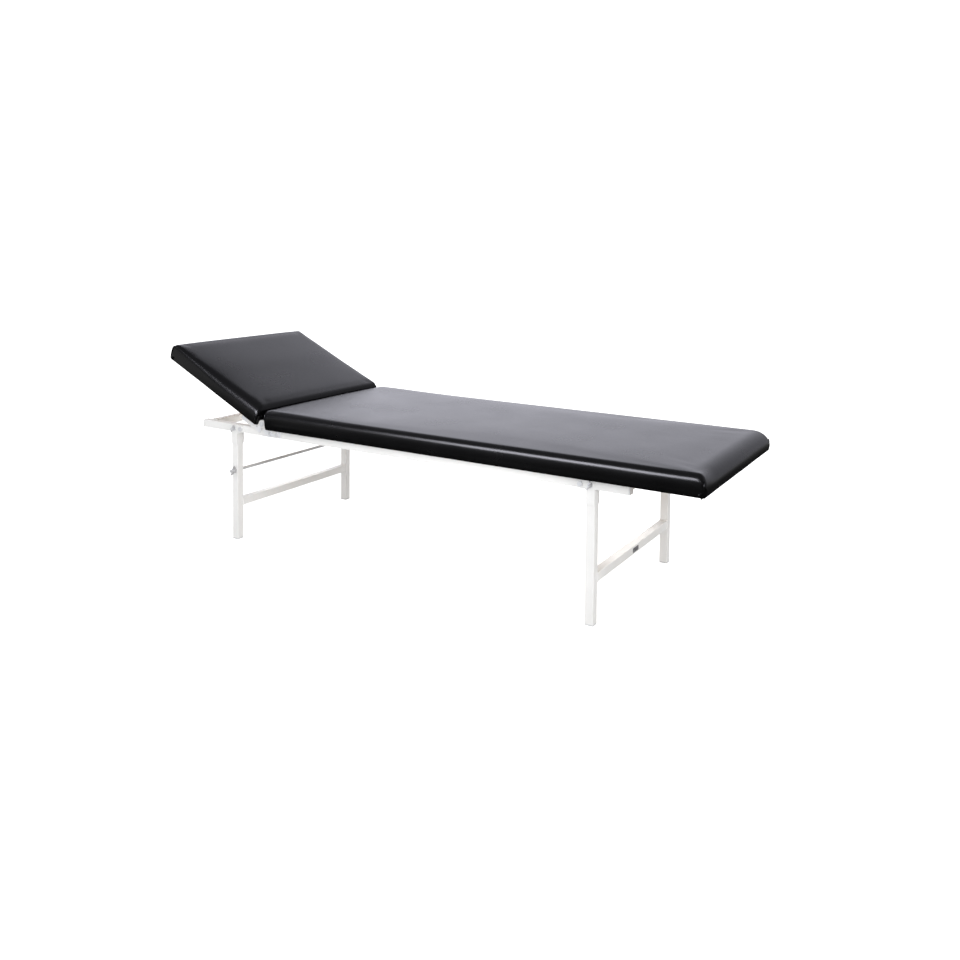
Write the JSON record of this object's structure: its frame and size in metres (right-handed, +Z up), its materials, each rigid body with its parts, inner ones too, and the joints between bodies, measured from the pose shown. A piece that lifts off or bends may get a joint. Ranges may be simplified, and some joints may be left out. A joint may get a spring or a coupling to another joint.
{
  "type": "relaxation lounger",
  "caption": "Flat padded rest couch with a ratcheting head section, on a square-tube steel frame with folding leg frames and a paper-roll rod.",
  "frame": {"origin": "on the floor, under the middle of the couch's box with the head section raised as in the picture", "axes": "+X towards the foot end, +Y towards the far side, +Z up"},
  "size_m": [1.8834, 0.624, 0.6339],
  "materials": {
    "black_vinyl": "smooth semi-gloss black vinyl with a fine grain",
    "foam": "open-cell foam",
    "board": "raw particle board",
    "white_paint": "white powder coat, satin",
    "zinc_steel": "pale zinc-plated sheet steel",
    "bright_steel": "zinc-plated fasteners and drawn rod",
    "cast_steel": "dull zinc-plated cast steel",
    "grey_plastic": "moulded pale grey plastic",
    "pale_rubber": "matt pale rubber"
  },
  "bodies": {
    "frame": {"near_rail": "white_paint", "far_rail": "white_paint", "head_cross_tube": "white_paint", "middle_cross_tube": "white_paint", "foot_cross_tube": "white_paint", "rail_end_caps": "grey_plastic", "head_buffers": "pale_rubber", "main_board": "board", "main_foam": "foam", "main_cover": "black_vinyl", "main_board_screws": "bright_steel", "near_hinge_plate": "zinc_steel", "far_hinge_plate": "zinc_steel", "hinge_rivets": "bright_steel", "hinge_plate_bolts": "bright_steel", "hinge_plate_nuts": "bright_steel", "leg_pivot_bolts": "bright_steel", "leg_pivot_nuts": "bright_steel", "leg_lock_bolts": "bright_steel", "lock_washers": "bright_steel"},
    "head_section": {"head_board": "board", "head_foam": "foam", "head_cover": "black_vinyl", "near_hinge_arm": "zinc_steel", "far_hinge_arm": "zinc_steel", "hinge_arm_screws": "bright_steel", "pawl_pins": "bright_steel", "pawl_springs": "bright_steel"},
    "near_pawl": {"near_pawl": "zinc_steel"},
    "far_pawl": {"far_pawl": "zinc_steel"},
    "head_legs": {"near_head_leg": "white_paint", "far_head_leg": "white_paint", "head_leg_crossbar": "white_paint", "near_head_leg_plates": "white_paint", "far_head_leg_plates": "white_paint", "head_leg_feet": "grey_plastic"},
    "foot_legs": {"near_foot_leg": "white_paint", "far_foot_leg": "white_paint", "foot_leg_crossbar": "white_paint", "near_foot_leg_plates": "white_paint", "far_foot_leg_plates": "white_paint", "foot_leg_feet": "grey_plastic"},
    "roll_rod": {"roll_rod": "bright_steel"},
    "roll_wing_nut": {"roll_wing_nut": "cast_steel"},
    "near_head_wing_nut": {"near_head_wing_nut": "cast_steel"},
    "far_head_wing_nut": {"far_head_wing_nut": "cast_steel"},
    "near_foot_wing_nut": {"near_foot_wing_nut": "cast_steel"},
    "far_foot_wing_nut": {"far_foot_wing_nut": "cast_steel"}
  },
  "joints": [
    {"name": "head_tilt", "type": "hinge", "parent": "frame", "child": "head_section", "pos_m": [-0.52128, 0, 0.4], "axis": [0, 1, 0], "range_deg": [-25, 25]},
    {"name": "head_legs_fold", "type": "hinge", "parent": "frame", "child": "head_legs", "pos_m": [-0.61978, 0, 0.372], "axis": [0, -1, 0], "range_deg": [0, 90]},
    {"name": "foot_legs_fold", "type": "hinge", "parent": "frame", "child": "foot_legs", "pos_m": [0.60472, 0, 0.372], "axis": [0, 1, 0], "range_deg": [0, 90]},
    {"name": "roll_rod_pull", "type": "slide", "parent": "head_legs", "child": "roll_rod", "axis": [0, 1, 0], "range_m": [0, 0.57]},
    {"name": "roll_wing_nut_turn", "type": "hinge", "parent": "head_legs", "child": "roll_wing_nut", "pos_m": [-0.64828, -0.29, 0.231], "axis": [0, -1, 0], "continuous": true},
    {"name": "near_head_wing_nut_turn", "type": "hinge", "parent": "frame", "child": "near_head_wing_nut", "pos_m": [-0.64828, -0.2945, 0.372], "axis": [0, -1, 0], "continuous": true},
    {"name": "far_head_wing_nut_turn", "type": "hinge", "parent": "frame", "child": "far_head_wing_nut", "pos_m": [-0.64828, 0.2945, 0.372], "axis": [0, 1, 0], "continuous": true},
    {"name": "near_foot_wing_nut_turn", "type": "hinge", "parent": "frame", "child": "near_foot_wing_nut", "pos_m": [0.63322, -0.2945, 0.372], "axis": [0, -1, 0], "continuous": true},
    {"name": "far_foot_wing_nut_turn", "type": "hinge", "parent": "frame", "child": "far_foot_wing_nut", "pos_m": [0.63322, 0.2945, 0.372], "axis": [0, 1, 0], "continuous": true},
    {"name": "near_pawl_drop", "type": "hinge", "parent": "head_section", "child": "near_pawl", "pos_m": [-0.5423, -0.2915, 0.3916], "axis": [0, -1, 0], "range_deg": [0, 11]},
    {"name": "far_pawl_drop", "type": "hinge", "parent": "head_section", "child": "far_pawl", "pos_m": [-0.5423, 0.2915, 0.3916], "axis": [0, -1, 0], "range_deg": [0, 11]}
  ]
}
